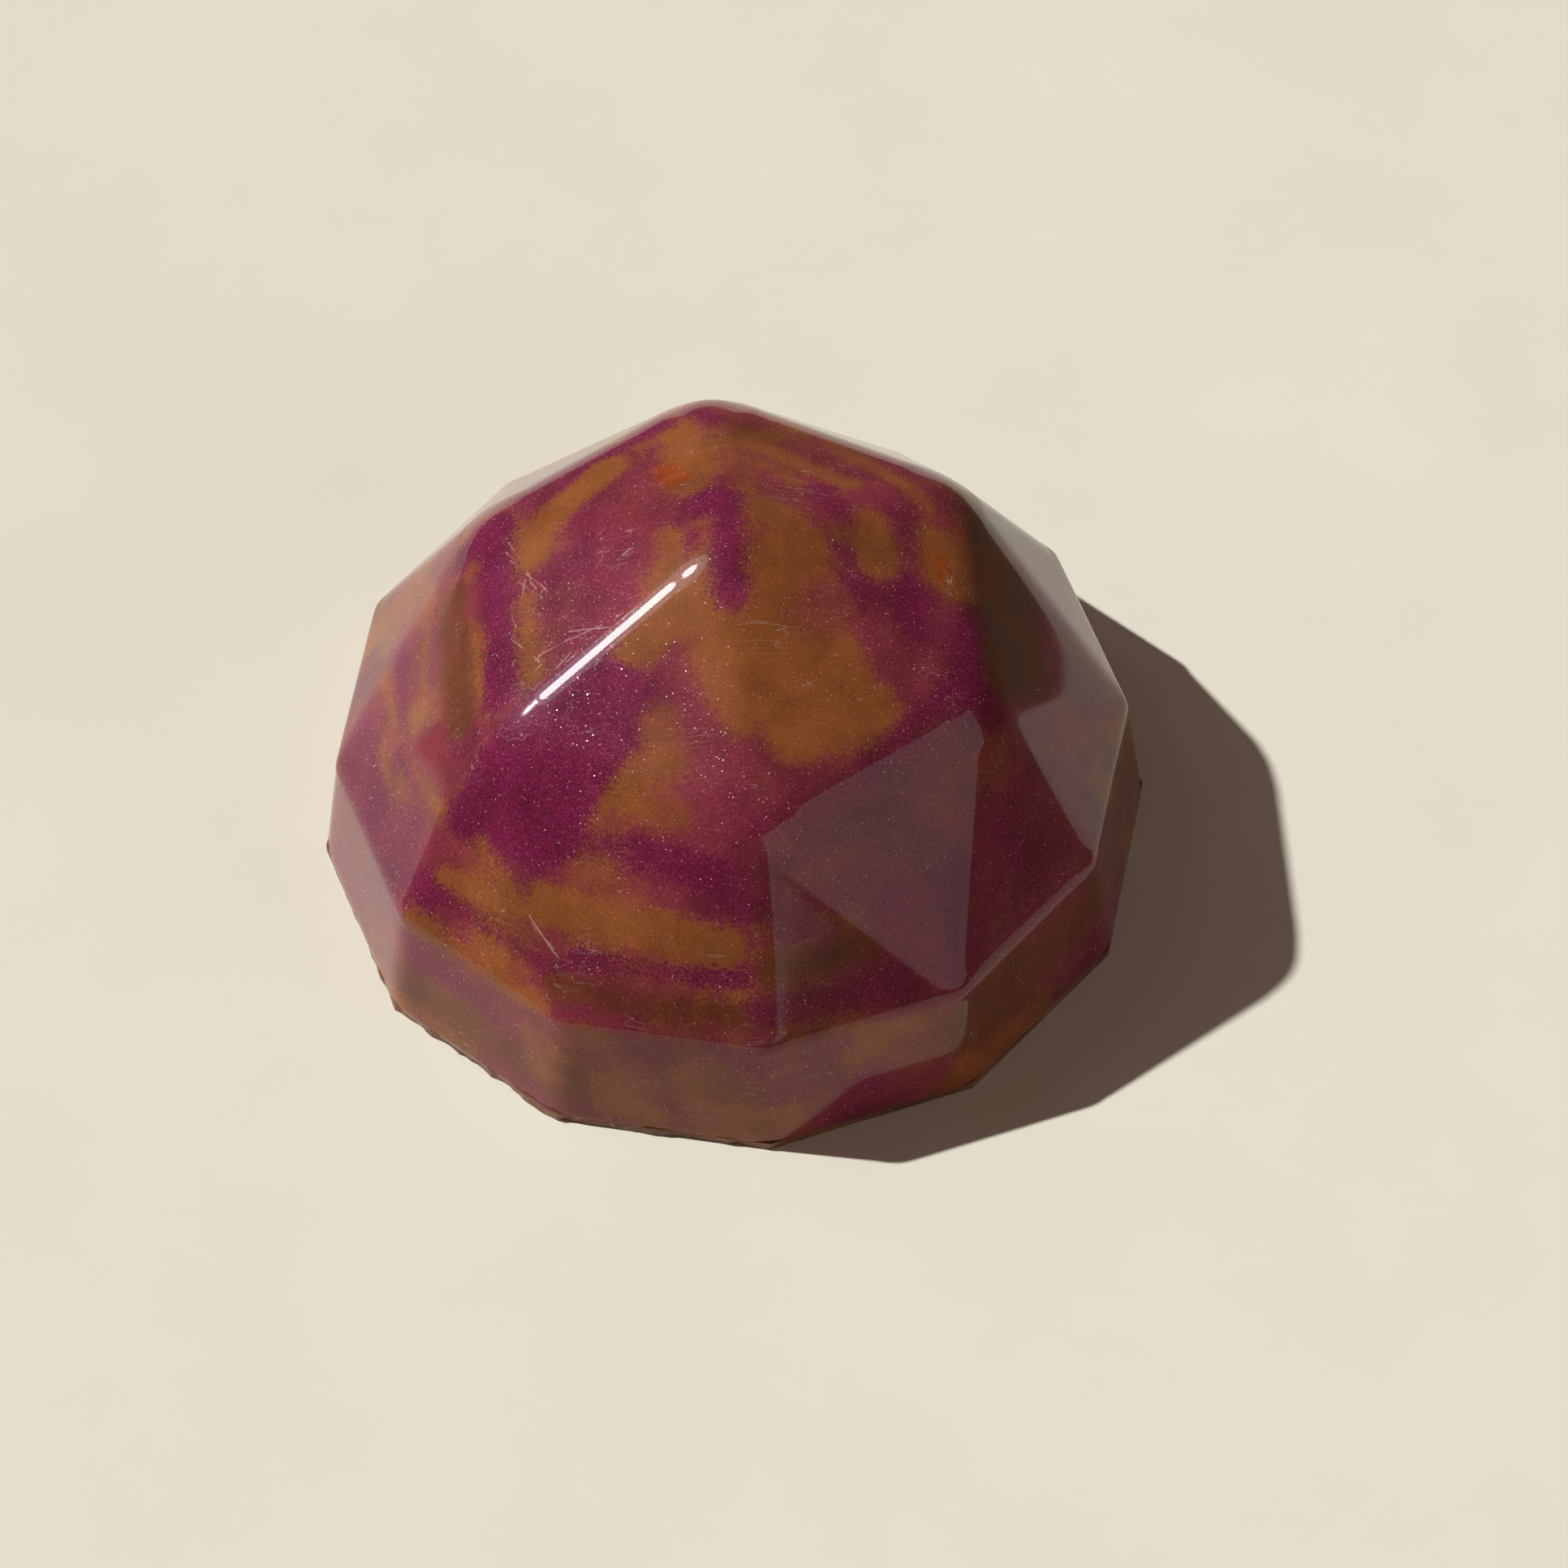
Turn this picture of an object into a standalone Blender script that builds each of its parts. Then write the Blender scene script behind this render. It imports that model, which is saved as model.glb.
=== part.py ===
"""A filled chocolate bonbon cast in a faceted dome mould.

Four pieces, nested as they are made: a thin coloured coat, the chocolate shell
behind it, the soft filling inside the shell, and the cap that closes the base.
Metres, +Z up. The origin is the centre of the flat underside, which lies on z = 0,
and +X points at one of the twelve corners of the base.
"""

import math

import bmesh
import bpy

MM = 0.001

# The faceted dome: an apex, a crown of 6 corners, a shoulder of 12 and a foot of 12.
# These are the corners before rounding, which takes 0.4 mm off the apex.
HEIGHT = 16.6 * MM
CROWN_RADIUS = 9.95 * MM
CROWN_HEIGHT = 12.7 * MM
SHOULDER_RADIUS = 14.5 * MM
SHOULDER_HEIGHT = 5.15 * MM
FOOT_RADIUS = 15.05 * MM
CROWN_CORNERS = 6
FOOT_CORNERS = 12

# Layers from the outside in, and the gap that keeps neighbouring pieces apart.
GAP = 0.3 * MM
COAT = 0.3 * MM
SHELL = 1.6 * MM

# The cap: a plate under the shell's rim, and a plug that stands inside the rim.
CAP_PLATE = 0.6 * MM
CAP_PLUG = 2.0 * MM

# Rounding of edges, as the width that it takes on each side of the edge. Chocolate
# poured inside the mould settles rounder than the mould's own edges. The edges below
# the crown take only a share of the width.
MOULDED_EDGE = 0.75 * MM
POURED_EDGE = 1.3 * MM
CAP_EDGE = 0.12 * MM
LOWER_SHARE = 0.5
EDGE_STEPS = 3

# Colours (linear RGB).
COAT_COLOUR = (0.22, 0.045, 0.075)
SHELL_COLOUR = (0.075, 0.026, 0.011)
FILLING_COLOUR = (0.19, 0.075, 0.03)
CAP_COLOUR = (0.085, 0.03, 0.012)


def clear_scene():
    for thing in list(bpy.data.objects):
        bpy.data.objects.remove(thing)


def make_material(name, colour, roughness, gloss_layer=0.0):
    material = bpy.data.materials.new(name)
    material.use_nodes = True
    shader = material.node_tree.nodes["Principled BSDF"]
    shader.inputs["Base Color"].default_value = (*colour, 1.0)
    shader.inputs["Roughness"].default_value = roughness
    shader.inputs["Metallic"].default_value = 0.0
    shader.inputs["Coat Weight"].default_value = gloss_layer
    material.diffuse_color = (*colour, 1.0)
    return material


def dome_profile(inset):
    """(radius, height) of apex, crown, shoulder and foot, moved inward by inset.

    Each corner moves along the mitre between the flats above and below it.
    """
    corners = [(0.0, HEIGHT), (CROWN_RADIUS, CROWN_HEIGHT),
               (SHOULDER_RADIUS, SHOULDER_HEIGHT), (FOOT_RADIUS, 0.0)]
    slopes = [math.atan2(r1 - r0, z0 - z1)
              for (r0, z0), (r1, z1) in zip(corners, corners[1:])]
    above = [math.pi / 2] + slopes
    below = slopes + slopes[-1:]
    moved = []
    for (radius, height), upper, lower in zip(corners, above, below):
        turn = (upper + lower) / 2
        mitre = inset / math.cos((upper - lower) / 2)
        moved.append((max(radius - mitre * math.cos(turn), 0.0),
                      height - mitre * math.sin(turn)))
    return moved


def ring(mesh, radius, height, corners, turned=0.0):
    """Corners at equal steps round Z; turned is the first one's angle, in steps."""
    angles = [2 * math.pi * (step + turned) / corners for step in range(corners)]
    return [mesh.verts.new((radius * math.cos(angle), radius * math.sin(angle), height))
            for angle in angles]


def open_dome(mesh, inset, rim_height):
    """Adds a faceted dome, open at its rim. Returns its faces and its rim's corners."""
    points = dome_profile(inset)
    (shoulder_r, shoulder_z), (foot_r, foot_z) = points[2:]
    rim_r = foot_r + (shoulder_r - foot_r) * (rim_height - foot_z) / (shoulder_z - foot_z)
    apex = mesh.verts.new((0.0, 0.0, points[0][1]))
    crown = ring(mesh, *points[1], CROWN_CORNERS, 0.5)
    shoulder = ring(mesh, *points[2], FOOT_CORNERS)
    rim = ring(mesh, rim_r, rim_height, FOOT_CORNERS)
    faces = []
    for step, corner in enumerate(crown):
        after = crown[(step + 1) % CROWN_CORNERS]
        low = [shoulder[(2 * step + turn) % FOOT_CORNERS] for turn in range(3)]
        faces.append(mesh.faces.new((apex, corner, after)))
        faces.append(mesh.faces.new((corner, low[0], low[1])))
        faces.append(mesh.faces.new((corner, low[1], low[2])))
        faces.append(mesh.faces.new((corner, low[2], after)))
    for step, corner in enumerate(shoulder):
        after = (step + 1) % FOOT_CORNERS
        faces.append(mesh.faces.new((corner, rim[step], rim[after], shoulder[after])))
    return faces, rim


def mark_rounding(mesh, faces, width):
    """Asks for rounding on the edges between these facets, as a share of POURED_EDGE."""
    weight = (mesh.edges.layers.float.get("bevel_weight_edge")
              or mesh.edges.layers.float.new("bevel_weight_edge"))
    mesh.faces.index_update()
    inside = {face.index for face in faces}
    crown_edge = (CROWN_HEIGHT + SHOULDER_HEIGHT) / 2
    for edge in mesh.edges:
        if all(face.index in inside for face in edge.link_faces):
            high = any(vert.co.z > crown_edge for vert in edge.verts)
            edge[weight] = width / POURED_EDGE * (1.0 if high else LOWER_SHARE)


def finish_piece(name, mesh, material, edge_width=POURED_EDGE):
    """Makes the object, with its edges rounded by a Bevel that follows their weights."""
    data = bpy.data.meshes.new(name)
    mesh.to_mesh(data)
    mesh.free()
    data.materials.append(material)
    piece = bpy.data.objects.new(name, data)
    bpy.context.scene.collection.objects.link(piece)
    rounding = piece.modifiers.new("rounded edges", "BEVEL")
    rounding.limit_method = "WEIGHT"
    rounding.width = edge_width
    rounding.segments = EDGE_STEPS
    return piece


def hollow_dome(name, outside, inside, rim_height, inner_edge, material):
    """A dome-shaped wall between two insets, open below."""
    mesh = bmesh.new()
    outer_faces, outer_rim = open_dome(mesh, outside, rim_height)
    inner_faces, inner_rim = open_dome(mesh, inside, rim_height)
    bmesh.ops.reverse_faces(mesh, faces=inner_faces)
    for step in range(FOOT_CORNERS):
        after = (step + 1) % FOOT_CORNERS
        mesh.faces.new((outer_rim[after], outer_rim[step], inner_rim[step], inner_rim[after]))
    mark_rounding(mesh, outer_faces, MOULDED_EDGE)
    mark_rounding(mesh, inner_faces, inner_edge)
    return finish_piece(name, mesh, material)


def solid_dome(name, outside, rim_height, edge, material):
    """A dome with a flat bottom."""
    mesh = bmesh.new()
    faces, rim = open_dome(mesh, outside, rim_height)
    mesh.faces.new(list(reversed(rim)))
    mark_rounding(mesh, faces, edge)
    return finish_piece(name, mesh, material)


def rim_radius(inset, height):
    """The radius of the dome's wall corners at a height below the shoulder."""
    (shoulder_r, shoulder_z), (foot_r, foot_z) = dome_profile(inset)[2:]
    return foot_r + (shoulder_r - foot_r) * (height - foot_z) / (shoulder_z - foot_z)


def stepped_cap(name, material):
    """The closing cap: a twelve-sided plate with a smaller plug standing on it."""
    behind_coat = COAT + GAP
    behind_shell = behind_coat + SHELL + GAP
    levels = [
        (rim_radius(behind_coat, 0.0), 0.0),
        (rim_radius(behind_coat, CAP_PLATE), CAP_PLATE),
        (rim_radius(behind_shell, CAP_PLATE), CAP_PLATE),
        (rim_radius(behind_shell, CAP_PLUG), CAP_PLUG),
    ]
    mesh = bmesh.new()
    rings = [ring(mesh, radius, height, FOOT_CORNERS) for radius, height in levels]
    mesh.faces.new(list(reversed(rings[0])))
    mesh.faces.new(rings[-1])
    for lower, upper in zip(rings, rings[1:]):
        for step in range(FOOT_CORNERS):
            after = (step + 1) % FOOT_CORNERS
            mesh.faces.new((lower[step], lower[after], upper[after], upper[step]))
    weight = mesh.edges.layers.float.new("bevel_weight_edge")
    for edge in mesh.edges:
        if all(vert in rings[-1] for vert in edge.verts):
            edge[weight] = 1.0
    return finish_piece(name, mesh, material, CAP_EDGE)


def build():
    clear_scene()
    behind_coat = COAT + GAP
    behind_shell = behind_coat + SHELL + GAP
    hollow_dome("colour_coat", 0.0, COAT, 0.0, MOULDED_EDGE,
                make_material("marbled cocoa butter", COAT_COLOUR, 0.18, 1.0))
    hollow_dome("chocolate_shell", behind_coat, behind_coat + SHELL, CAP_PLATE + GAP, POURED_EDGE,
                make_material("tempered chocolate", SHELL_COLOUR, 0.35))
    solid_dome("filling", behind_shell, CAP_PLUG + GAP, POURED_EDGE,
               make_material("soft ganache", FILLING_COLOUR, 0.5))
    stepped_cap("base_cap", make_material("capping chocolate", CAP_COLOUR, 0.45))


build()
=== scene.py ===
# %% [markdown]
# # A faceted, marbled chocolate bonbon
# A bonbon like this is cast upside down in a polished mould. Coloured cocoa butter is dabbed and
# flicked into the mould first, then a film of chocolate is run round it, the filling goes in, and
# a last layer of chocolate is scraped level to close it. Turned out, the cocoa butter is the
# glossy marbled skin.
#
# The imported model is loaded first as a fixed frame, and gives the bonbon its main sizes. The
# marbling, the camera and the lights are given below.

# %% Load the frame
import math

import bmesh
import bpy
from mathutils import Matrix, Vector, noise


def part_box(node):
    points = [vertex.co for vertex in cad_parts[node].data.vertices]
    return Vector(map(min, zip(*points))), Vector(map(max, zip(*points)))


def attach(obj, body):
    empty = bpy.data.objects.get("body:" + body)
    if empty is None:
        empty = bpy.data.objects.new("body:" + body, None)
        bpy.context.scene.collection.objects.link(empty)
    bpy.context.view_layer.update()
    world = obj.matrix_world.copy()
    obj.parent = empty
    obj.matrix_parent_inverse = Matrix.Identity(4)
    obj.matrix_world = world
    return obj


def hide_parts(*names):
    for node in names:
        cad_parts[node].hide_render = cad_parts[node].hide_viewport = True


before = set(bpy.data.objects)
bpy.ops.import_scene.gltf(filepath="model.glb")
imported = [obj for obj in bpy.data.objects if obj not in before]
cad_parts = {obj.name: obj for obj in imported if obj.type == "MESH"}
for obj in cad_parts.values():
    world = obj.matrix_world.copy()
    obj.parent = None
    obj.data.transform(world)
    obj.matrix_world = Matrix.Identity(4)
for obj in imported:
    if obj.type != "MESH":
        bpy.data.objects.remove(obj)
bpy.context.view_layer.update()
MM = 0.001

# %% [markdown]
# ## The camera
# Small objects are best looked at through a long lens from well back, so that the facets keep
# their true shapes. The camera looks down at a little over fifty degrees, and is tipped by one
# degree, as a hand-held camera is. Directions are given as a compass bearing round the bonbon and
# a height above the table, and `towards` turns the two into a vector.

# %% Camera
CAMERA_BEARING = -93.9
CAMERA_HEIGHT = 52.34
CAMERA_TIP = -1.3
CAMERA_DISTANCE = 0.45
CAMERA_LENS = 281
AIM = Vector((1.93 * MM, 1.45 * MM, 0.0))


def towards(bearing, height):
    """The unit vector at a bearing from +X, counted to +Y, and a height, both in degrees."""
    bearing, height = math.radians(bearing), math.radians(height)
    return Vector((math.cos(bearing) * math.cos(height),
                   math.sin(bearing) * math.cos(height), math.sin(height)))


def put_in_scene(name, data):
    """Links a new object that holds this data."""
    thing = bpy.data.objects.new(name, data)
    bpy.context.scene.collection.objects.link(thing)
    return thing


camera_data = bpy.data.cameras.new("camera")
camera_data.lens = CAMERA_LENS
camera_data.sensor_width = 36
camera_data.clip_start = 0.01
camera_data.clip_end = 20
camera = put_in_scene("camera", camera_data)
from_aim = towards(CAMERA_BEARING, CAMERA_HEIGHT)
facing = from_aim.to_track_quat("Z", "Y").to_matrix().to_4x4()
tip = Matrix.Rotation(math.radians(CAMERA_TIP), 4, "Z")
camera.matrix_world = Matrix.Translation(AIM + from_aim * CAMERA_DISTANCE) @ facing @ tip
bpy.context.scene.camera = camera
print("camera stands at", [round(value, 3) for value in camera.matrix_world.translation])

# %% [markdown]
# ## The coat
# The coloured skin takes the exact shape of the mould: an apex, a crown of six corners, a shoulder
# of twelve and a foot of twelve. The easy way to make such a shape is to set out its rings of
# corners and let Blender stretch a convex hull over them, then melt the hull's triangles together
# where they lie flat.

# %% Sizes of the dome
box_low, box_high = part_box("colour_coat")
FOOT_RADIUS = (box_high.x - box_low.x) / 2 + 0.05 * MM
HEIGHT = box_high.z + 0.45 * MM
SHOULDER_RADIUS = 0.963 * FOOT_RADIUS
SHOULDER_HEIGHT = 0.31 * HEIGHT
CROWN_RADIUS = 0.661 * FOOT_RADIUS
CROWN_HEIGHT = 0.765 * HEIGHT
SKIN = 0.3 * MM
COAT_FOOT = 0.27 * MM
print("foot radius", round(FOOT_RADIUS / MM, 2), "mm, sharp height", round(HEIGHT / MM, 2), "mm")

# %% A hull over rings of corners
coat_mesh = bmesh.new()
for count, radius, height in ((12, FOOT_RADIUS, COAT_FOOT), (12, SHOULDER_RADIUS, SHOULDER_HEIGHT),
                              (6, CROWN_RADIUS, CROWN_HEIGHT)):
    bmesh.ops.create_circle(coat_mesh, segments=count, radius=radius,
                            matrix=Matrix.Translation((0, 0, height)))
coat_mesh.verts.new((0, 0, HEIGHT))
bmesh.ops.convex_hull(coat_mesh, input=coat_mesh.verts)
bmesh.ops.dissolve_limit(coat_mesh, angle_limit=math.radians(1), verts=coat_mesh.verts,
                         edges=coat_mesh.edges)
bmesh.ops.recalc_face_normals(coat_mesh, faces=coat_mesh.faces)
bottom = [face for face in coat_mesh.faces if face.normal.z < -0.99]
bmesh.ops.delete(coat_mesh, geom=bottom, context="FACES_ONLY")
print("the sharp dome has", len(coat_mesh.faces), "facets")

# %% [markdown]
# ## Softened edges
# A mould that has been polished many times has no sharp edge or corner left, and its facets meet
# in soft bends that widen towards the corners. A bevel would keep every corner of a facet sharp.
# Instead the dome is cut into a fine grid, and each point is moved a few times towards the middle
# of its neighbours, which wears the edges down as polishing does. The apex and the six corners of
# the crown are worn most. The shoulder is spared most of it, because there the wall begins with a
# nearly crisp line that catches the light.

# %% Wear down the edges
GRID_CUTS = 38
WEAR_ALL, WEAR_CROWN, WEAR_APEX, WEAR_CORNER = 5, 13, 14, 22
SPARED = 0.35 * MM
APEX_REACH, CORNER_REACH = 2.2 * MM, 1.7 * MM


def wear(mesh, verts, times, level=False):
    """Moves these vertices towards their neighbours. Level keeps their heights."""
    for _ in range(times):
        bmesh.ops.smooth_vert(mesh, verts=verts, factor=0.5, use_axis_x=True, use_axis_y=True,
                              use_axis_z=not level)


bmesh.ops.subdivide_edges(coat_mesh, edges=coat_mesh.edges[:], cuts=GRID_CUTS,
                          use_grid_fill=True)
foot_line = [vert for vert in coat_mesh.verts if vert.is_boundary]
free = [vert for vert in coat_mesh.verts if not vert.is_boundary]
for _ in range(WEAR_ALL):
    wear(coat_mesh, free, 1)
    wear(coat_mesh, foot_line, 1, level=True)
spared = [vert for vert in free if abs(vert.co.z - SHOULDER_HEIGHT) > SPARED]
for _ in range(WEAR_CROWN):
    wear(coat_mesh, spared, 1)
    wear(coat_mesh, foot_line, 1, level=True)
wear(coat_mesh, [vert for vert in free if vert.co.to_2d().length < APEX_REACH], WEAR_APEX)
corners = [towards(30 + 60 * turn, 0) * CROWN_RADIUS + Vector((0, 0, CROWN_HEIGHT))
           for turn in range(6)]
cornered = [vert for vert in free
            if min((vert.co - corner).length for corner in corners) < CORNER_REACH]
wear(coat_mesh, cornered, WEAR_CORNER)
for face in coat_mesh.faces:
    face.smooth = True
print("worn height", round(max(vert.co.z for vert in coat_mesh.verts) / MM, 2), "mm,",
      len(coat_mesh.faces), "faces")

# %% The coat's object


def make_piece(name, mesh):
    """Writes a bmesh into a new object at the origin, and frees it."""
    data = bpy.data.meshes.new(name)
    mesh.to_mesh(data)
    mesh.free()
    return put_in_scene(name, data)


coat = make_piece("marbled_coat", coat_mesh)
thickness = coat.modifiers.new("thickness of the skin", "SOLIDIFY")
thickness.thickness = SKIN
thickness.offset = -1.0
thickness.use_even_offset = True
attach(coat, "root")
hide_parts("colour_coat")

# %% [markdown]
# ## The cap
# The mould is filled to the brim and scraped level with a wide knife. That leaves a flat plate of
# chocolate with a ragged rim, which shows as a thin dark line under the coat. The plate is a disc
# of twelve sides, cut finely round its rim, and noise pushes each rim corner in or out by about a
# tenth of a millimetre, most on the side where the knife left the mould.
#
# Known fault: a plug should stand on the plate and close the shell. The second pass of the loop
# takes the lower face instead of the upper one, so the plug is a recess cut up through the plate
# from below, and the mesh crosses itself. It can't be seen while the bonbon stands on its base.
# The repair has two halves: on the second pass `top` holds only the face whose corners all stand
# above the table, and PLUG_INSET grows to 2.7 mm, so that the plug clears the shell's inner wall.

# %% Cap with a ragged rim
PLATE = 0.32 * MM
PLUG_INSET = 0.75 * MM
FLASH = 0.11 * MM
FLASH_BEARING = 235.0
RIM_CUTS = 29
NEAR = 0.01 * MM
_, plug_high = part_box("base_cap")
cap_mesh = bmesh.new()
plate_radius = FOOT_RADIUS - 0.04 * MM
bmesh.ops.create_circle(cap_mesh, cap_ends=True, segments=12, radius=plate_radius)
for inset, rise in ((0.0, PLATE), (PLUG_INSET, plug_high.z - PLATE)):
    top = [face for face in cap_mesh.faces if abs(face.normal.z) > 0.9][-1:]
    if inset:
        bmesh.ops.inset_individual(cap_mesh, faces=top, thickness=inset)
    lifted = bmesh.ops.extrude_face_region(cap_mesh, geom=top, use_keep_orig=not inset)
    if inset:
        bmesh.ops.delete(cap_mesh, geom=top, context="FACES_ONLY")
    verts = [part for part in lifted["geom"] if isinstance(part, bmesh.types.BMVert)]
    bmesh.ops.translate(cap_mesh, verts=verts, vec=(0, 0, rise))
    cap_mesh.faces.ensure_lookup_table()
bmesh.ops.recalc_face_normals(cap_mesh, faces=cap_mesh.faces)
rim = [edge for edge in cap_mesh.edges
       if all(vert.co.to_2d().length > plate_radius - NEAR for vert in edge.verts)
       and abs(edge.verts[0].co.z - edge.verts[1].co.z) < NEAR]
bmesh.ops.subdivide_edges(cap_mesh, edges=rim, cuts=RIM_CUTS, use_grid_fill=True)
for vert in cap_mesh.verts:
    if vert.co.to_2d().length > 0.96 * plate_radius:
        outwards = Vector((vert.co.x, vert.co.y, 0)).normalized()
        ragged = noise.noise(vert.co / (0.8 * MM)) + 0.6 * noise.noise(vert.co / (0.25 * MM))
        share = max(0.5, outwards.dot(towards(FLASH_BEARING, 0))) ** 4
        vert.co += outwards * FLASH * max(-0.5, min(1.0, 1.6 * ragged)) * share
print("cap:", len(cap_mesh.faces), "faces, closed:",
      all(edge.is_manifold for edge in cap_mesh.edges))
cap = make_piece("scraped_cap", cap_mesh)
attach(cap, "root")
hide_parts("base_cap")

# %% [markdown]
# ## Tools for building materials
# Every finish below is a small network of nodes. These helpers place a node, set its options and
# wire its inputs, so that the networks read like sums.

# %% Node helpers


def add(tree, kind, *values, **options):
    """Places a node, sets its options, and feeds its first inputs with values or sockets."""
    node = tree.nodes.new(kind)
    for name, value in options.items():
        setattr(node, name, value)
    for socket, value in zip(node.inputs, values):
        feed(tree, value, socket)
    return node


def feed(tree, value, socket):
    """Wires a socket into an input, or writes a plain value there. None leaves it alone."""
    if isinstance(value, bpy.types.NodeSocket):
        tree.links.new(value, socket)
    elif value is not None:
        socket.default_value = value


def sum_of(tree, operation, *values, clamp=False):
    """The output of a Math node."""
    return add(tree, "ShaderNodeMath", *values, operation=operation, use_clamp=clamp).outputs[0]


def vector_of(tree, operation, *values):
    """The output of a Vector Math node that gives a vector."""
    return add(tree, "ShaderNodeVectorMath", *values, operation=operation).outputs["Vector"]


def number_of(tree, operation, *values):
    """The output of a Vector Math node that gives a number."""
    return add(tree, "ShaderNodeVectorMath", *values, operation=operation).outputs["Value"]


def scaled(tree, vector, size):
    """A vector times a number."""
    node = tree.nodes.new("ShaderNodeVectorMath")
    node.operation = "SCALE"
    feed(tree, vector, node.inputs[0])
    feed(tree, size, node.inputs["Scale"])
    return node.outputs["Vector"]


def between(tree, value, low, high, start=0.0, end=1.0):
    """Start where value is low, end where it is high, with a smooth change between."""
    return add(tree, "ShaderNodeMapRange", value, low, high, start, end,
               interpolation_type="SMOOTHSTEP").outputs[0]


def mixed(tree, share, first, second, blend="MIX"):
    """First where share is 0, second where it is 1."""
    node = add(tree, "ShaderNodeMix", share, data_type="RGBA", blend_type=blend)
    feed(tree, first, node.inputs[6])
    feed(tree, second, node.inputs[7])
    return node.outputs[2]


def cloud(tree, vector, scale, detail=2.0, roughness=0.5, distortion=0.0):
    """A Noise Texture node: outputs[0] is a value, outputs[1] a colour."""
    node = tree.nodes.new("ShaderNodeTexNoise")
    feed(tree, vector, node.inputs["Vector"])
    for name, value in (("Scale", scale), ("Detail", detail), ("Roughness", roughness),
                        ("Distortion", distortion)):
        node.inputs[name].default_value = value
    return node


def new_group(name, inputs, outputs):
    """A shader node group with named sockets. Returns the tree, its input and its output node."""
    tree = bpy.data.node_groups.new(name, "ShaderNodeTree")
    for label, kind, value in inputs:
        socket = tree.interface.new_socket(label, in_out="INPUT", socket_type=kind)
        socket.default_value = value
    for label, kind in outputs:
        tree.interface.new_socket(label, in_out="OUTPUT", socket_type=kind)
    return tree, tree.nodes.new("NodeGroupInput"), tree.nodes.new("NodeGroupOutput")


def use_group(tree, group, **values):
    """Places a group node. Its inputs are named with spaces written as underscores."""
    node = tree.nodes.new("ShaderNodeGroup")
    node.node_tree = group
    for name, value in values.items():
        feed(tree, value, node.inputs[name.replace("_", " ")])
    return node


def new_material(name):
    """A node material: returns it with its tree and its Principled BSDF."""
    material = bpy.data.materials.new(name)
    material.use_nodes = True
    return material, material.node_tree, material.node_tree.nodes["Principled BSDF"]


FLOAT, COLOUR, VECTOR = "NodeSocketFloat", "NodeSocketColor", "NodeSocketVector"
print("helpers ready")

# %% [markdown]
# ## Marbling
# The maker dabs and flicks warm cocoa butter of a few colours into the mould, and each touch
# spreads a little into its neighbours. The pattern is made the same way here. A `brush stroke`
# group gives a soft mask round a line between two places. The places are bearings and heights as
# seen from a point inside the dome. A slow noise bends them first, so that no edge stays straight,
# and a very fine one makes the edges grainy.

# %% Places on the dome
INSIDE = Vector((0.0, 0.0, 2.0 * MM))
GLOBE = 14.0

place_tree, place_in, place_out = new_group(
    "place on the dome", [("Ripple", FLOAT, 0.5), ("Grain", FLOAT, 0.0)],
    [("Place", VECTOR), ("Even", VECTOR)])
spot = add(place_tree, "ShaderNodeTexCoord").outputs["Object"]
ray = vector_of(place_tree, "SUBTRACT", spot, INSIDE)
even = scaled(place_tree, vector_of(place_tree, "NORMALIZE", ray), GLOBE)


def drift(scale, detail, roughness, strength):
    """A noise that pushes places about, by half its strength in millimetres at most."""
    field = cloud(place_tree, even, scale, detail, roughness).outputs[1]
    field = vector_of(place_tree, "SUBTRACT", field, (0.5, 0.5, 0.5))
    return scaled(place_tree, field, strength)


bend = vector_of(place_tree, "ADD", drift(0.3, 2.0, 0.5, 2.2), drift(1.1, 3.0, 0.6, 1.0))
bend = scaled(place_tree, bend, place_in.outputs["Ripple"])
grainy = drift(8.0, 1.0, 0.5, place_in.outputs["Grain"])
bend = vector_of(place_tree, "ADD", bend, grainy)
feed(place_tree, vector_of(place_tree, "ADD", even, bend), place_out.inputs["Place"])
feed(place_tree, even, place_out.inputs["Even"])
print("place group has", len(place_tree.nodes), "nodes")

# %% One brush stroke
stroke_tree, stroke_in, stroke_out = new_group(
    "brush stroke", [("Place", VECTOR, (0, 0, 0)), ("From", VECTOR, (0, 0, 0)),
                     ("To", VECTOR, (1, 0, 0)), ("Width", FLOAT, 1.0), ("Softness", FLOAT, 0.4)],
    [("Mask", FLOAT)])
here, start, end = (stroke_in.outputs[name] for name in ("Place", "From", "To"))
along = vector_of(stroke_tree, "SUBTRACT", end, start)
away = vector_of(stroke_tree, "SUBTRACT", here, start)
length = sum_of(stroke_tree, "MAXIMUM", number_of(stroke_tree, "DOT_PRODUCT", along, along), 0.001)
share = sum_of(stroke_tree, "DIVIDE", number_of(stroke_tree, "DOT_PRODUCT", away, along), length,
               clamp=True)
nearest = vector_of(stroke_tree, "ADD", start, scaled(stroke_tree, along, share))
gap = number_of(stroke_tree, "DISTANCE", here, nearest)
inner_edge = sum_of(stroke_tree, "SUBTRACT", stroke_in.outputs["Width"],
                    stroke_in.outputs["Softness"])
outer_edge = sum_of(stroke_tree, "ADD", stroke_in.outputs["Width"], stroke_in.outputs["Softness"])
feed(stroke_tree, between(stroke_tree, gap, inner_edge, outer_edge, 1.0, 0.0),
     stroke_out.inputs["Mask"])
print("brush stroke group has", len(stroke_tree.nodes), "nodes")

# %% [markdown]
# ## The maker's palette
# Five colours of cocoa butter: a deep violet, a rose, a caramel gold, an amber and a chocolate
# brown. Every stroke names its colour, where it starts and ends, how wide it is in millimetres,
# how soft its edge is and how thickly it covers. They are laid in this order, later ones on top.
# `PEARL` says how much pearl dust is stirred into each colour: a lot in the violet and the rose,
# and next to none in the rest.

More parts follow.
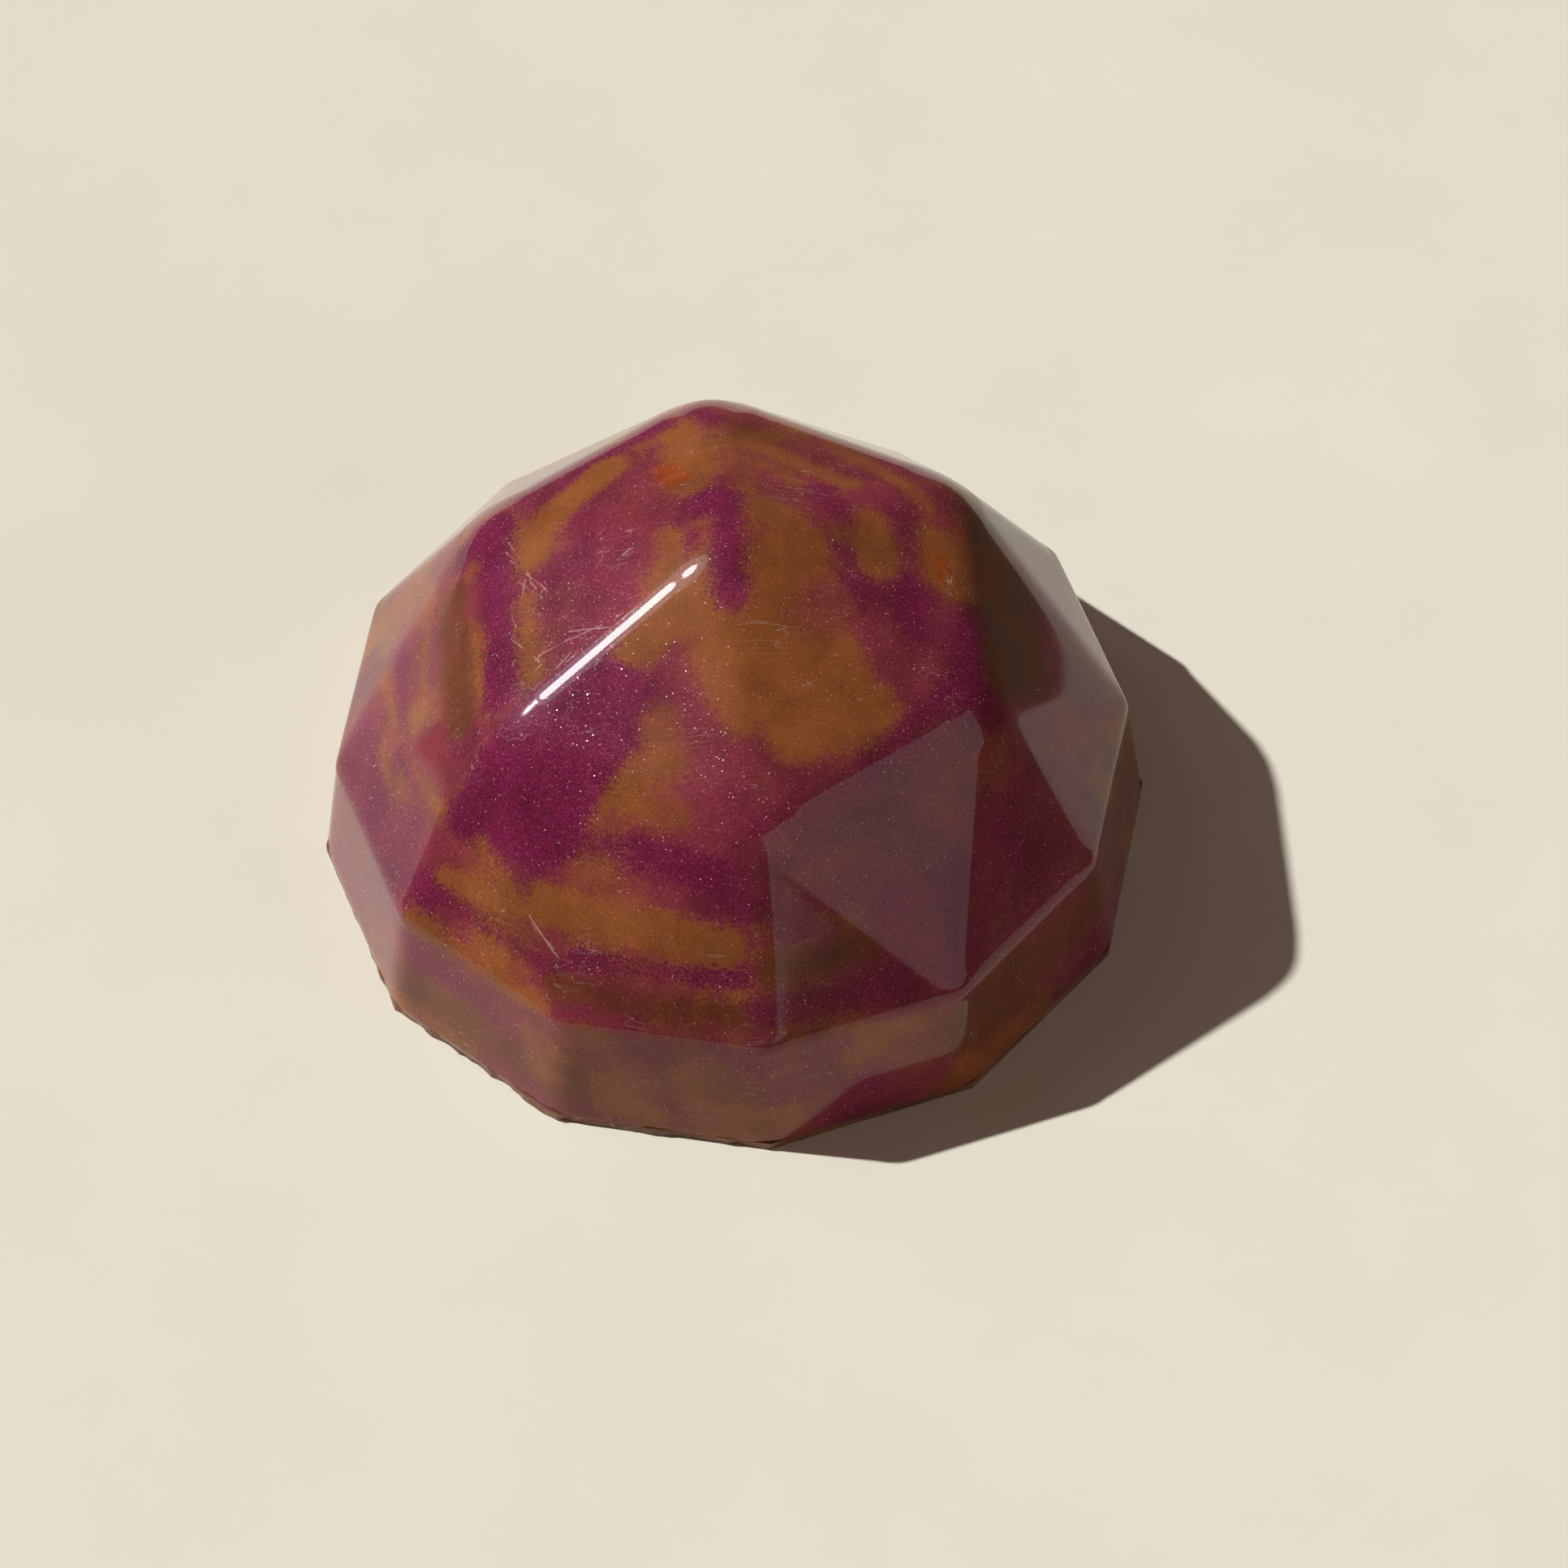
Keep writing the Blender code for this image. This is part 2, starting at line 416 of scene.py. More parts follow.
# %% Strokes
VIOLET, ROSE = (0.155, 0.01, 0.047, 1), (0.2, 0.028, 0.042, 1)
CARAMEL, AMBER, BROWN = (0.25, 0.078, 0.022, 1), (0.31, 0.055, 0.008, 1), (0.13, 0.036, 0.013, 1)

STROKES = (
    # round the apex and over the right of the crown
    (CARAMEL, (296, 66), (300, 78), 2.5, 0.5, 1.0), (CARAMEL, (285, 59), (308, 57), 1.2, 0.4, 1.0),
    (CARAMEL, (255, 71), (268, 63), 0.9, 0.4, 0.9), (CARAMEL, (240, 80), (262, 76), 0.9, 0.4, 0.9),
    (CARAMEL, (340, 79), (10, 78), 0.9, 0.4, 0.9), (CARAMEL, (10, 78), (55, 79), 0.8, 0.3, 0.9),
    (ROSE, (330, 74), (332, 56), 0.8, 0.5, 0.7), (ROSE, (312, 75), (318, 70), 0.5, 0.4, 0.4),
    (VIOLET, (345, 69), (5, 71), 0.5, 0.4, 0.8), (VIOLET, (348, 64), (343, 54), 1.3, 0.7, 0.8),
    (VIOLET, (335, 59), (25, 58), 0.6, 0.5, 0.8), (CARAMEL, (2, 66), (20, 65), 0.8, 0.3, 0.9),
    (AMBER, (1, 55), (8, 55), 0.3, 0.3, 0.8), (VIOLET, (328, 49), (350, 50), 0.7, 0.4, 0.9),
    # the far side of the crown
    (ROSE, (30, 72), (65, 72), 0.7, 0.4, 0.9), (VIOLET, (34, 69), (44, 68), 0.7, 0.4, 0.9),
    (CARAMEL, (42, 62), (80, 60), 0.5, 0.3, 0.9), (BROWN, (60, 57), (85, 56), 0.8, 0.5, 0.5),
    (CARAMEL, (25, 54), (55, 54), 0.4, 0.3, 0.8), (ROSE, (25, 57), (60, 57), 0.4, 0.3, 0.7),
    (VIOLET, (95, 78), (112, 79), 0.8, 0.4, 1.0), (ROSE, (125, 75), (150, 76), 0.9, 0.5, 0.8),
    (CARAMEL, (100, 68), (100, 56), 0.8, 0.4, 0.9), (AMBER, (108, 69), (110, 66), 0.6, 0.4, 0.9),
    (ROSE, (125, 66), (150, 68), 1.0, 0.5, 0.9), (VIOLET, (90, 54), (95, 50), 0.5, 0.3, 0.9),
    (VIOLET, (102, 52), (128, 53), 0.55, 0.3, 0.9), (CARAMEL, (122, 57), (162, 57), 0.8, 0.3, 1.0),
    # the left of the crown
    (CARAMEL, (155, 80), (205, 80), 0.6, 0.3, 0.9), (ROSE, (155, 73), (205, 68), 1.4, 0.6, 0.9),
    (VIOLET, (155, 66), (203, 65), 1.1, 0.9, 0.6), (VIOLET, (160, 73), (195, 73), 0.5, 0.4, 0.5),
    (VIOLET, (172, 62), (202, 60), 0.7, 0.4, 0.6), (VIOLET, (152, 49), (200, 50), 0.85, 0.3, 1.0),
    (VIOLET, (152, 50), (158, 44), 0.7, 0.3, 1.0), (BROWN, (168, 42), (196, 41), 0.9, 0.4, 0.9),
    # the front, from the bright edge to the right
    (CARAMEL, (225, 79), (224, 69), 0.9, 0.3, 1.0), (VIOLET, (223, 57), (222, 40), 2.3, 0.35, 1.0),
    (VIOLET, (213, 50), (212, 32), 0.9, 0.3, 1.0), (VIOLET, (225, 58), (236, 66), 0.8, 0.6, 0.7),
    (VIOLET, (222, 38), (262, 39), 0.8, 0.4, 0.95), (ROSE, (240, 70), (250, 66), 0.6, 0.4, 0.8),
    (ROSE, (250, 62), (266, 50), 1.0, 0.6, 0.9), (VIOLET, (266, 50), (267, 34), 0.5, 0.5, 0.5),
    (CARAMEL, (243, 61), (250, 55), 0.7, 0.5, 0.7), (CARAMEL, (249, 47), (252, 47), 0.7, 0.5, 0.7),
    (CARAMEL, (214, 22), (228, 25), 0.45, 0.25, 1.0),
    (CARAMEL, (232, 28), (264, 28), 0.85, 0.3, 1.0), (VIOLET, (212, 19), (238, 19), 0.35, 0.3, 0.8),
    (VIOLET, (240, 22), (267, 23), 0.42, 0.2, 0.9), (VIOLET, (210, 18), (212, 17), 0.7, 0.3, 0.9),
    (BROWN, (238, 17), (268, 17), 0.6, 0.25, 0.8), (CARAMEL, (212, 13), (236, 13), 0.5, 0.3, 0.9),
    (ROSE, (183, 5), (206, 4), 1.2, 0.8, 0.7), (VIOLET, (214, 7), (228, 5), 0.7, 0.5, 0.7),
    (BROWN, (212, 0), (240, 0), 0.9, 0.6, 0.8), (CARAMEL, (236, 5), (238, 1), 0.6, 0.5, 0.7),
    (CARAMEL, (250, 2), (266, 3), 0.8, 0.6, 0.6),
    # the left flank
    (VIOLET, (168, 29), (192, 27), 0.5, 0.25, 0.8), (CARAMEL, (172, 24), (206, 29), 0.4, 0.3, 0.9),
    (VIOLET, (180, 18), (192, 17), 0.9, 0.4, 0.8), (VIOLET, (192, 16), (205, 15), 0.6, 0.3, 0.8),
    (CARAMEL, (160, 36), (186, 33), 0.35, 0.3, 0.8), (CARAMEL, (152, 30), (158, 15), 0.8, 0.5, 0.8),
    # the shaded right, where the broad brown strokes are partly the brown cocoa butter and partly
    # painted shade
    (VIOLET, (272, 46), (300, 50), 0.5, 0.3, 0.8), (VIOLET, (300, 50), (325, 50), 0.6, 0.3, 0.9),
    (VIOLET, (329, 47), (331, 45), 1.0, 0.4, 1.0), (BROWN, (340, 43), (20, 43), 1.0, 0.4, 1.0),
    (BROWN, (350, 38), (8, 38), 1.4, 0.5, 1.0), (ROSE, (284, 41), (316, 41), 2.4, 0.8, 0.6),
    (VIOLET, (290, 32), (306, 30), 1.0, 0.8, 0.5), (BROWN, (272, 24), (288, 24), 0.6, 0.4, 0.8),
    (VIOLET, (270, 18), (292, 17), 0.7, 0.4, 0.8), (VIOLET, (318, 32), (322, 22), 0.8, 0.5, 0.5),
    (CARAMEL, (285, 7), (293, 4), 0.9, 0.5, 0.5), (BROWN, (303, 5), (357, 5), 1.7, 0.6, 0.9),
    # the far flank
    (CARAMEL, (28, 42), (58, 26), 0.9, 0.4, 0.9), (VIOLET, (62, 40), (88, 28), 1.1, 0.5, 0.9),
    (AMBER, (96, 36), (120, 30), 0.5, 0.4, 0.8), (VIOLET, (18, 22), (50, 10), 0.9, 0.4, 0.9),
    (CARAMEL, (70, 14), (104, 18), 0.8, 0.4, 0.9), (VIOLET, (112, 10), (140, 16), 0.9, 0.5, 0.9),
    (CARAMEL, (128, 34), (146, 22), 0.7, 0.4, 0.9), (BROWN, (350, 10), (10, 5), 0.9, 0.5, 0.7),
    # the apex itself
    (VIOLET, (88, 78), (268, 82), 0.7, 0.4, 0.95),
)
PEARL = {VIOLET: 1.0, ROSE: 0.8, CARAMEL: 0.15, AMBER: 0.1, BROWN: 0.1}
print(len(STROKES), "strokes")

# %% Laying the strokes
EDGE_GRAIN = 1.1
LEAST_PEARL = 0.4
marble_tree, marble_in, marble_out = new_group(
    "marbling", [("Ripple", FLOAT, 0.5)], [("Color", COLOUR), ("Pearl", FLOAT)])
places = use_group(marble_tree, place_tree, Ripple=marble_in.outputs["Ripple"], Grain=EDGE_GRAIN)
bent = places.outputs["Place"]
ground = cloud(marble_tree, bent, 0.23, 3.0, 0.55, 0.6).outputs[0]
colour = mixed(marble_tree, between(marble_tree, ground, 0.42, 0.6), ROSE, CARAMEL)
elsewhere = vector_of(marble_tree, "ADD", bent, (31, 7, 3))
pool = cloud(marble_tree, elsewhere, 0.2, 3.0, 0.55, 0.4).outputs[0]
pearl = sum_of(marble_tree, "MULTIPLY", between(marble_tree, pool, 0.5, 0.6), 0.7)
colour = mixed(marble_tree, pearl, colour, VIOLET)
pearl = sum_of(marble_tree, "MAXIMUM", pearl, LEAST_PEARL)
for paint, first, last, width, softness, cover in STROKES:
    stroke = use_group(marble_tree, stroke_tree, Place=bent, From=towards(*first) * GLOBE,
                       To=towards(*last) * GLOBE, Width=width, Softness=softness)
    mask = sum_of(marble_tree, "MULTIPLY", stroke.outputs["Mask"], cover)
    colour = mixed(marble_tree, mask, colour, paint)
    pearl = add(marble_tree, "ShaderNodeMix", mask, None, pearl, PEARL[paint]).outputs[0]
feed(marble_tree, colour, marble_out.inputs["Color"])
feed(marble_tree, pearl, marble_out.inputs["Pearl"])
print("marbling group has", len(marble_tree.nodes), "nodes")

# %% [markdown]
# ## Pearl dust
# Confectioners brush pearl dust into the mould: tiny flakes of mica, each lying at its own angle,
# so that in the sun some flash and others don't. A Voronoi Texture gives every cell a random
# colour. That colour decides whether the cell holds a flake, how bright it is and how far it
# tips. The brightness, given out as Glint, lightens the colour below as a painted glint. A coarse
# and a fine layer together look like real dust.

# %% Mica group
mica_tree, mica_in, mica_out = new_group(
    "pearl dust", [("Density", FLOAT, 0.2), ("Flake size", FLOAT, 0.15), ("Tilt", FLOAT, 0.4)],
    [("Flake", FLOAT), ("Glint", FLOAT), ("Normal", VECTOR)])
spot = add(mica_tree, "ShaderNodeTexCoord").outputs["Object"]
in_mm = scaled(mica_tree, spot, 1 / MM)
cells = mica_tree.nodes.new("ShaderNodeTexVoronoi")
feed(mica_tree, in_mm, cells.inputs["Vector"])
feed(mica_tree, sum_of(mica_tree, "DIVIDE", 1.0, mica_in.outputs["Flake size"]),
     cells.inputs["Scale"])
chance = add(mica_tree, "ShaderNodeSeparateColor", cells.outputs["Color"])
holds = sum_of(mica_tree, "LESS_THAN", chance.outputs[0], mica_in.outputs["Density"])
reach = sum_of(mica_tree, "MULTIPLY_ADD", chance.outputs[1], 0.3, 0.2)
near = sum_of(mica_tree, "SUBTRACT", 1.0, sum_of(
    mica_tree, "DIVIDE", cells.outputs["Distance"], reach), clamp=True)
flake = sum_of(mica_tree, "MULTIPLY", holds, between(mica_tree, near, 0.0, 0.5))
feed(mica_tree, flake, mica_out.inputs["Flake"])
# Glint is a random brightness for each flake; where it lightens the colour it is a painted glint.
feed(mica_tree, sum_of(mica_tree, "POWER", chance.outputs[2], 2.0), mica_out.inputs["Glint"])
lean = vector_of(mica_tree, "SUBTRACT", cells.outputs["Color"], (0.5, 0.5, 0.5))
lean = scaled(mica_tree, lean, sum_of(mica_tree, "MULTIPLY", flake, mica_in.outputs["Tilt"]))
straight = add(mica_tree, "ShaderNodeNewGeometry").outputs["Normal"]
tipped = vector_of(mica_tree, "NORMALIZE", vector_of(mica_tree, "ADD", straight, lean))
feed(mica_tree, tipped, mica_out.inputs["Normal"])
print("pearl dust group has", len(mica_tree.nodes), "nodes")

# %% [markdown]
# ## Scratches
# A polished skin marks easily. Hairlines are the thin level lines of a noise that is stretched
# along one direction, and they are kept to a few worn patches. The longest scratches are listed
# and laid with the brush stroke group, as lines a few hundredths of a millimetre wide. Most of them
# are on the left of the crown, next to the bright edge, where the sun catches them. Their pale
# colour is partly a painted glint of that sun.

# %% Scratches group
SCRATCHES = (((157, 53), (170, 58)), ((160, 53), (174, 59)), ((163, 54), (176, 61)),
             ((166, 53), (178, 60)), ((170, 57), (188, 54)), ((188, 54), (200, 57)),
             ((199, 63), (199, 50)), ((196, 60), (203, 50)), ((219, 80), (214, 63)),
             ((202, 68), (198, 58)), ((198, 58), (203, 46)), ((203, 72), (205, 52)),
             ((197, 51), (204, 43)), ((206, 74), (206, 60)), ((216, 78), (213, 66)),
             ((196, 63), (206, 69)), ((175, 60), (196, 53)), ((164, 52), (185, 55)),
             ((201, 57), (205, 50)), ((204, 62), (207, 54)), ((168, 57), (180, 63)),
             ((230, 25), (237, 21)), ((231, 24), (236, 22)), ((345, 36), (352, 27)))
SCRATCH_WIDTH = 0.024
scratch_tree, scratch_in, scratch_out = new_group(
    "scratches_and_glints", [("Amount", FLOAT, 0.5), ("Worn share", FLOAT, 0.4)], [("Mask", FLOAT)])
places = use_group(scratch_tree, place_tree, Ripple=0.12)
lines = None
for turn, offset in ((0.5, 0.0), (2.1, 17.0)):
    stretch = scratch_tree.nodes.new("ShaderNodeMapping")
    feed(scratch_tree, places.outputs["Even"], stretch.inputs["Vector"])
    stretch.inputs["Location"].default_value = (offset, 0, 0)
    stretch.inputs["Rotation"].default_value = (turn, 0.4 * turn, turn)
    stretch.inputs["Scale"].default_value = (0.04, 1.8, 1.8)
    field = cloud(scratch_tree, stretch.outputs[0], 1.0, 1.0).outputs[0]
    level = sum_of(scratch_tree, "ABSOLUTE", sum_of(scratch_tree, "SUBTRACT", field, 0.5))
    line = between(scratch_tree, level, 0.001, 0.005, 1.0, 0.0)
    lines = line if lines is None else sum_of(scratch_tree, "MAXIMUM", lines, line)
worn = cloud(scratch_tree, places.outputs["Even"], 0.5, 2.0).outputs[0]
worn = between(scratch_tree, worn, sum_of(scratch_tree, "SUBTRACT", 0.75, scratch_in.outputs[
    "Worn share"]), 0.75)
lines = sum_of(scratch_tree, "MULTIPLY", lines, worn)
for first, last in SCRATCHES:
    stroke = use_group(scratch_tree, stroke_tree, Place=places.outputs["Place"],
                       From=towards(*first) * GLOBE, To=towards(*last) * GLOBE,
                       Width=SCRATCH_WIDTH, Softness=SCRATCH_WIDTH)
    lines = sum_of(scratch_tree, "MAXIMUM", lines, stroke.outputs["Mask"])
lines = sum_of(scratch_tree, "MULTIPLY", lines, scratch_in.outputs["Amount"])
feed(scratch_tree, lines, scratch_out.inputs["Mask"])

# %% [markdown]
# ## The coat's finish
# Three layers go into one Principled BSDF. The colour below is the marbling, made uneven by a slow
# haze and a very fine grit. Then comes the dust: small pink flakes wherever the colour is
# pearly, and a few larger, paler ones that are partly metallic and turn their own normals to the
# light. Each flake is pale pigment, lightened further by a painted glint of random brightness.
# Over them lies a clear, very glossy coat, which is the skin that the polished mould
# leaves. Scratches are pale, partly a painted glint of the sun in them, and take the gloss away.

# %% Dust and grit over the marbling
HAZE, GRIT, CLUMPS = 420, 11000, 260
# The last colour is the scratches' pale colour: partly scuffed coat, partly a painted glint of the
# sun.
PINK, PALE, SCUFF_AND_GLINT = (0.6, 0.16, 0.26, 1), (0.95, 0.72, 0.85, 1), (0.8, 0.6, 0.5, 1)

finish, tree, shader = new_material("marbled cocoa butter")
marble = use_group(tree, marble_tree, Ripple=0.3)
pearl = marble.outputs["Pearl"]
coarse = use_group(tree, mica_tree, Density=0.09, Flake_size=0.075, Tilt=0.5)
fine = use_group(tree, mica_tree, Density=0.7, Flake_size=0.075, Tilt=0.6)
spot = add(tree, "ShaderNodeTexCoord").outputs["Object"]
haze = cloud(tree, spot, HAZE, 3.0, 0.6).outputs[0]
grit = between(tree, cloud(tree, spot, GRIT, 1.0).outputs[0], 0.3, 0.7, -0.28, 0.28)
grit = sum_of(tree, "MULTIPLY", grit, sum_of(tree, "MULTIPLY_ADD", pearl, 0.75, 0.25))
shade = sum_of(tree, "MULTIPLY", between(tree, haze, 0.3, 0.7, 0.82, 1.18),
               sum_of(tree, "ADD", grit, 1.0))
shade = add(tree, "ShaderNodeCombineColor", shade, shade, shade).outputs[0]
colour = mixed(tree, 1.0, marble.outputs["Color"], shade, "MULTIPLY")
clump = between(tree, cloud(tree, spot, CLUMPS, 2.0).outputs[0], 0.38, 0.62, 0.5, 1.0)
# Fine pink flakes: pigment, lightened by a painted glint of random brightness.
fine_flakes_and_glints = sum_of(tree, "MULTIPLY", fine.outputs["Flake"], fine.outputs["Glint"])
fine_flakes_and_glints = sum_of(tree, "MULTIPLY", fine_flakes_and_glints, sum_of(tree, "MULTIPLY", clump, pearl))
colour = mixed(tree, sum_of(tree, "MULTIPLY", fine_flakes_and_glints, 0.85), colour, PINK)
# Coarse pale flakes: pigment, lightened by a painted glint of random brightness.
coarse_flakes_and_glints = sum_of(tree, "MULTIPLY", coarse.outputs["Flake"], clump)
coarse_flakes_and_glints = sum_of(tree, "MULTIPLY", coarse_flakes_and_glints, sum_of(tree, "MULTIPLY_ADD", pearl, 0.7, 0.3))
coarse_flakes_and_glints = sum_of(tree, "MULTIPLY", coarse_flakes_and_glints,
             sum_of(tree, "MULTIPLY_ADD", coarse.outputs["Glint"], 0.85, 0.15))
colour = mixed(tree, coarse_flakes_and_glints, colour, PALE)
dust = sum_of(tree, "MAXIMUM", coarse_flakes_and_glints, fine_flakes_and_glints)
print("dust and grit take", len(tree.nodes), "nodes")

# %% Scratches and gloss
COAT_WEIGHT, COAT_ROUGHNESS, COAT_IOR, SPECULAR = 0.85, 0.055, 1.4, 0.06

scratches_and_glints = use_group(tree, scratch_tree, Amount=0.55, Worn_share=0.22).outputs["Mask"]
# Scratches lighten the colour: partly scuffed coat, partly a painted glint of the sun in them.
feed(tree, mixed(tree, sum_of(tree, "MULTIPLY", scratches_and_glints, 0.6), colour, SCUFF_AND_GLINT),
     shader.inputs["Base Color"])
feed(tree, sum_of(tree, "MULTIPLY", dust, 0.5), shader.inputs["Metallic"])
rough = between(tree, haze, 0.3, 0.7, 0.4, 0.5)
feed(tree, sum_of(tree, "SUBTRACT", rough, sum_of(tree, "MULTIPLY", dust, 0.12)),
     shader.inputs["Roughness"])
feed(tree, coarse.outputs["Normal"], shader.inputs["Normal"])
scuffed = sum_of(tree, "MULTIPLY", scratches_and_glints, 0.8)
feed(tree, sum_of(tree, "SUBTRACT", COAT_WEIGHT, scuffed, clamp=True),
     shader.inputs["Coat Weight"])
for name, value in (("Coat Roughness", COAT_ROUGHNESS), ("Coat IOR", COAT_IOR),
                    ("Specular IOR Level", SPECULAR)):
    shader.inputs[name].default_value = value
coat.data.materials.append(finish)
print("coat material has", len(tree.nodes), "nodes")

# %% [markdown]
# ## Chocolate
# The shell and the scraped cap are the same dark chocolate. It is brown with slow changes of
# tone, satin rather than glossy where a knife has dragged over it, and has a few pale specks
# where cocoa butter has bloomed. On the cap the lighter tone and the denser specks are partly
# painted highlights along its ragged rim.

# %% Chocolate group and materials
choc_tree, choc_in, choc_out = new_group(
    "chocolate",
    [("Dark", COLOUR, (0.07, 0.024, 0.01, 1)), ("Light", COLOUR, (0.1, 0.037, 0.016, 1)),
     ("Specks", FLOAT, 0.3)],
    [("Color", COLOUR), ("Roughness", FLOAT), ("Height", FLOAT)])
spot = add(choc_tree, "ShaderNodeTexCoord").outputs["Object"]
tone = cloud(choc_tree, spot, 300, 4.0, 0.6).outputs[0]
tone = between(choc_tree, tone, 0.35, 0.65)
colour = mixed(choc_tree, tone, choc_in.outputs["Dark"], choc_in.outputs["Light"])
speck = cloud(choc_tree, spot, 3200, 1.0).outputs[0]
speck = sum_of(choc_tree, "MULTIPLY", between(choc_tree, speck, 0.68, 0.75),
               choc_in.outputs["Specks"])
feed(choc_tree, mixed(choc_tree, speck, colour, (0.5, 0.36, 0.25, 1)), choc_out.inputs["Color"])
feed(choc_tree, between(choc_tree, tone, 0.0, 1.0, 0.32, 0.5), choc_out.inputs["Roughness"])
fine_bumps = cloud(choc_tree, spot, 1500, 4.0, 0.6).outputs[0]
feed(choc_tree, fine_bumps, choc_out.inputs["Height"])


def chocolate(name, dark, light, specks, depth, drag=None):
    """A chocolate material. Drag adds the long marks of a knife across the cap."""
    material, tree, shader = new_material(name)
    body = use_group(tree, choc_tree, Dark=dark, Light=light, Specks=specks)
    feed(tree, body.outputs["Color"], shader.inputs["Base Color"])
    feed(tree, body.outputs["Roughness"], shader.inputs["Roughness"])
    height = body.outputs["Height"]
    if drag:
        spot = add(tree, "ShaderNodeTexCoord").outputs["Object"]
        stretch = add(tree, "ShaderNodeMapping", spot)
        stretch.inputs["Scale"].default_value = (30, drag, drag)
        stretch.inputs["Rotation"].default_value = (0, 0, 0.35)
        marks = cloud(tree, stretch.outputs[0], 1.0, 3.0).outputs[0]
        height = sum_of(tree, "MULTIPLY_ADD", marks, 3.0, height)
    bump = tree.nodes.new("ShaderNodeBump")
    bump.inputs["Distance"].default_value = depth
    bump.inputs["Strength"].default_value = 0.5
    feed(tree, height, bump.inputs["Height"])
    feed(tree, bump.outputs[0], shader.inputs["Normal"])
    return material


# The cap's lighter tone and denser pale specks are partly painted highlights of its ragged rim.
cap.data.materials.append(chocolate("scraped chocolate", (0.1, 0.036, 0.015, 1),
                                    (0.24, 0.1, 0.045, 1), 0.5, 0.05 * MM, 1400))
for name, material in (
        ("chocolate_shell", chocolate("poured chocolate", (0.07, 0.024, 0.01, 1),
                                      (0.09, 0.033, 0.014, 1), 0.2, 0.03 * MM)),
        ("filling", chocolate("ganache", (0.16, 0.062, 0.024, 1), (0.22, 0.09, 0.038, 1),
                              0.6, 0.08 * MM))):
    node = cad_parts[name]
    node.data.materials.clear()
    node.data.materials.append(material)
hidden = chocolate("coat and cap in the frame", (0.2, 0.05, 0.05, 1), (0.22, 0.06, 0.05, 1), 0.1,
                   0.01 * MM)
for name in ("colour_coat", "base_cap"):
    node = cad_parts[name]
    node.data.materials.clear()
    node.data.materials.append(hidden)
print("chocolate materials ready")

# %% [markdown]
# ## The table
# A plain pale table top, warm white, with a very slight mottle. Its left and right edges lie just
# outside the picture. Beyond them the shaded facets mirror the dim room, which is what gives them
# their depth, so the outline is drawn to suit: each edge sets how far down a facet stays dark.

# %% Floor
TABLE_OUTLINE = ((36.3, 80), (-71, 80), (-13, -80), (86, -80), (36.3, 19.5))
TABLE_TOP = -0.01 * MM
floor_mesh = bmesh.new()
floor_mesh.faces.new([floor_mesh.verts.new((x * MM, y * MM, TABLE_TOP)) for x, y in TABLE_OUTLINE])
floor = make_piece("table", floor_mesh)
cream, tree, shader = new_material("table top")
spot = add(tree, "ShaderNodeTexCoord").outputs["Object"]
mottle = between(tree, cloud(tree, spot, 90, 5.0, 0.6).outputs[0], 0.3, 0.7)
feed(tree, mixed(tree, mottle, (0.735, 0.706, 0.594, 1), (0.757, 0.727, 0.612, 1)),
     shader.inputs["Base Color"])
shader.inputs["Roughness"].default_value = 0.65
floor.data.materials.append(cream)

# %% [markdown]
# ## Light
# One small, low sun from the left gives the crisp shadow. A round lamp with a dim halo is there
# only to be mirrored, as the white streak along the bright edge. A pale card and a narrow strip
# below it are mirrored in one shaded facet and in part of its neighbour. The room around is dim
# and warm, with a little haze round the sun, and looks pale cream to the camera.

# %% Sun, lamps, cards and room
SUN_BEARING, SUN_HEIGHT = 160.4, 46.2
SUN_STRENGTH, SUN_ANGLE = 3.95, 1.25
LAMP_BEARING, LAMP_HEIGHT, LAMP_DISTANCE = 149.5, 54.3, 1.0
# name, width in metres, watts, colour
LAMPS = (("lamp", 0.17, 2.2, (1.0, 1.0, 1.0)), ("halo", 0.42, 1.3, (0.85, 0.85, 1.0)))
CARD_DISTANCE, CARD_COLOUR = 0.5, (1.0, 0.88, 1.0)
